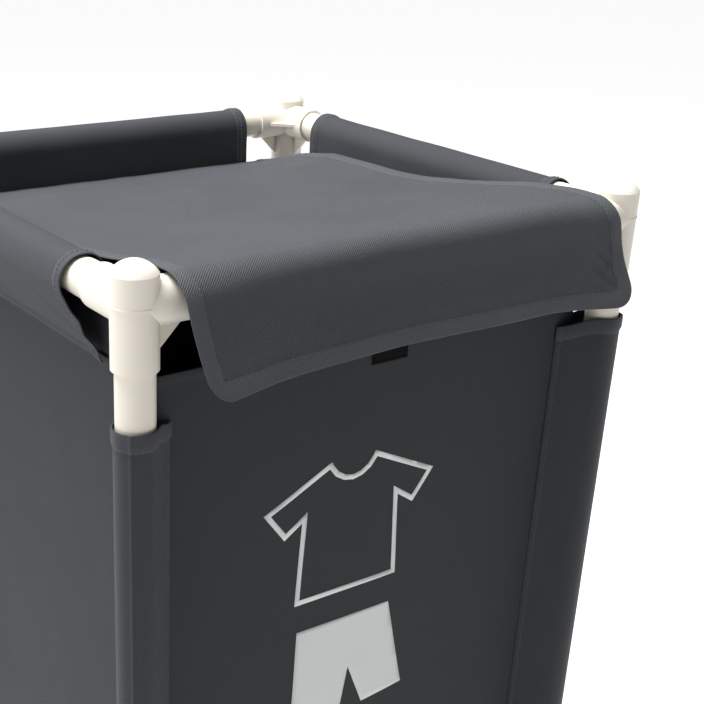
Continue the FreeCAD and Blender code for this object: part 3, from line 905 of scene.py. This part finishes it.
def on_front_panel(x, z, lift=0.0):
    """Point on the front panel's outer face; lift goes outwards."""
    return panel_point("front", x, z - PANEL_FOOT, lift + 0.0003)


def inside_flap(x, z, lift=0.0):
    """Point on the inner face of the flap; lift goes inwards, towards the bag."""
    here = lid_point(x + LID_HALF, LID_PATH.length - (z - HEM_Z))
    return here + Vector((0, 0.0011 + lift, 0))


def print_on_front(name, node, rings):
    """Ink outline or shape on the front panel: flat rings of (across, up), laid on its curve."""
    mesh = bpy.data.meshes.new(name)
    work = bmesh.new()
    edges = []
    for ring in rings:
        verts = [work.verts.new((x, 0, z)) for x, z in ring]
        edges += [work.edges.new((verts[k - 1], verts[k])) for k in range(len(verts))]
    bmesh.ops.triangle_fill(work, use_beauty=True, use_dissolve=False, edges=edges)
    xs = [x for x, _ in rings[0]]
    zs = [z for _, z in rings[0]]
    step = 0.006
    for low, high, normal in ((min(xs), max(xs), (1, 0, 0)), (min(zs), max(zs), (0, 0, 1))):
        for k in range(1, int((high - low) / step) + 1):
            origin = Vector(normal) * (low + k * step)
            bmesh.ops.bisect_plane(work, geom=work.verts[:] + work.edges[:] + work.faces[:],
                                   plane_co=origin, plane_no=normal)
    layer = work.loops.layers.uv.new("cloth")
    for face in work.faces:
        for loop in face.loops:
            loop[layer].uv = (loop.vert.co.x, loop.vert.co.z)
    for vert in work.verts:
        across, up = vert.co.x, vert.co.z - PANEL_FOOT
        vert.co = panel_point("front", across, up, 0.00022)
    bmesh.ops.recalc_face_normals(work, faces=work.faces)
    work.to_mesh(mesh)
    work.free()
    if sum(face.normal.y for face in mesh.polygons) > 0:
        mesh.flip_normals()
    obj = piece_from_mesh(name, mesh, INK)
    thicken(obj, 0.00018, even_walls=False)
    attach(obj, "frame")
    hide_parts(node)


def inset_ring(ring, width):
    """The same outline, moved inwards by a width; the ring runs clockwise seen from the front."""
    made = []
    for k in range(len(ring)):
        before, here, after = (Vector(ring[j % len(ring)]) for j in (k - 1, k, k + 1))
        first = (here - before).normalized()
        second = (after - here).normalized()
        in_first = Vector((first.y, -first.x))
        in_second = Vector((second.y, -second.x))
        across = (in_first + in_second).normalized()
        made.append(tuple(here + across * width / max(0.3, across.dot(in_first))))
    return made


def prints():
    """T-shirt outline and solid shorts."""
    low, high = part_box("shirt_print")
    centre = (low.x + high.x) / 2
    # right half, as (out from the centre, down from the top): neck, sleeve and side
    half = [(0, 0.0125), (0.006, 0.0113), (0.0115, 0.0080), (0.0155, 0.0030), (0.0172, 0.0002),
            (0.0675, 0.0240), (0.0512, 0.0450), (0.0382, 0.0362), (0.0412, 0.0950)]
    ring = [(centre + x, high.z - down) for x, down in half]
    ring += [(centre - x, high.z - down) for x, down in half[:0:-1]]
    line_width = 0.0035
    print_on_front("shirt_print_ink", "shirt_print", [ring, inset_ring(ring, line_width)])
    low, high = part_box("shorts_print")
    centre = low.x + 0.041
    outline = [(-0.0385, 0), (0.0375, 0.001), (0.055, 0.071), (0.0195, 0.074), (0.0055, 0.041),
               (0, 0.075), (-0.041, 0.073)]
    print_on_front("shorts_print_ink", "shorts_print",
                   [[(centre + x, high.z - down) for x, down in outline]])


# ---- frame finishes --------------------------------------------------------------------------
def finish_frame():
    """Give the fittings and tubes their plastic."""
    for name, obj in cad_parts.items():
        material = None
        if "_corner_" in name:
            material = FITTING_PLASTIC
        elif name.startswith("post_") and "sleeve" not in name or "_rail_" in name:
            material = TUBE_PLASTIC
        if material:
            for slot in obj.material_slots:
                slot.material = material


# ---- stage -----------------------------------------------------------------------------------
def area_light(name, place, target, size, power):
    """Square lamp at a place, turned towards a target."""
    data = bpy.data.lights.new(name, "AREA")
    data.size = size
    data.energy = power
    lamp = bpy.data.objects.new(name, data)
    lamp.location = place
    lamp.rotation_euler = (Vector(target) - Vector(place)).to_track_quat("-Z", "Y").to_euler()
    bpy.context.scene.collection.objects.link(lamp)


def studio_floor():
    """Wide pale floor that glows a little, so that it stays light all round the hamper."""
    clear_selection()
    bpy.ops.mesh.primitive_plane_add(size=40, location=(0, 0, 0))
    floor = bpy.context.object
    floor.name = "studio_floor"
    material = new_material("studio_floor", 0.9, Base_Color=(0.3, 0.3, 0.3, 1),
                            Emission_Color=(1, 1, 1, 1), Emission_Strength=0.86)[0]
    floor.data.materials.append(material)


def studio_light():
    """White surroundings, a large lamp overhead and a weak one from the left."""
    world = bpy.data.worlds.new("studio")
    world.use_nodes = True
    background = world.node_tree.nodes["Background"]
    background.inputs["Color"].default_value = (1, 1, 1, 1)
    background.inputs["Strength"].default_value = 0.28
    bpy.context.scene.world = world
    bpy.context.scene.view_settings.view_transform = "Standard"
    area_light("overhead", (-0.4, 0.45, 2.3), (0, 0, 0.5), 1.4, 98)
    area_light("left_window", (-2.3, 0.15, 1.5), (0, 0, 0.4), 1.3, 18)


CAMERA_PLACE = (-0.4923, -0.7199, 0.7874)
CAMERA_YAW = math.radians(35.73)       # from straight at the front, towards the right
CAMERA_PITCH = math.radians(24.36)     # down from level
CAMERA_ROLL = math.radians(1.84)


def studio_camera():
    data = bpy.data.cameras.new("camera")
    data.sensor_width = 36
    data.lens = 66.52
    data.shift_x = 0.14
    data.shift_y = 0.12
    data.clip_start = 0.05
    across = math.cos(CAMERA_PITCH)
    ahead = Vector((math.sin(CAMERA_YAW) * across, math.cos(CAMERA_YAW) * across,
                    -math.sin(CAMERA_PITCH)))
    level = Vector((math.cos(CAMERA_YAW), -math.sin(CAMERA_YAW), 0))
    above = level.cross(ahead)
    right = math.cos(CAMERA_ROLL) * level + math.sin(CAMERA_ROLL) * above
    upright = -math.sin(CAMERA_ROLL) * level + math.cos(CAMERA_ROLL) * above
    turn = Matrix((right, upright, -ahead)).transposed()
    camera = bpy.data.objects.new("camera", data)
    camera.matrix_world = Matrix.Translation(CAMERA_PLACE) @ turn.to_4x4()
    bpy.context.scene.collection.objects.link(camera)
    bpy.context.scene.camera = camera


# ---- build -----------------------------------------------------------------------------------
studio_floor()
studio_light()
studio_camera()
finish_frame()
for number, side in enumerate(TURNS):
    bag_panel(side)
    rail_sleeve("top", side, 10.0 + number)
    rail_sleeve("bottom", side, 20.0 + number)
for number, corner in enumerate(CORNER_TURNS):
    post_sleeve(corner, 30.0 + number)
bag_floor()
lid()
patch("bag_loop_patch_pad", "bag_loop_patch", "frame", on_front_panel)
patch("flap_hook_patch_pad", "flap_hook_patch", "front_flap", inside_flap)
prints()
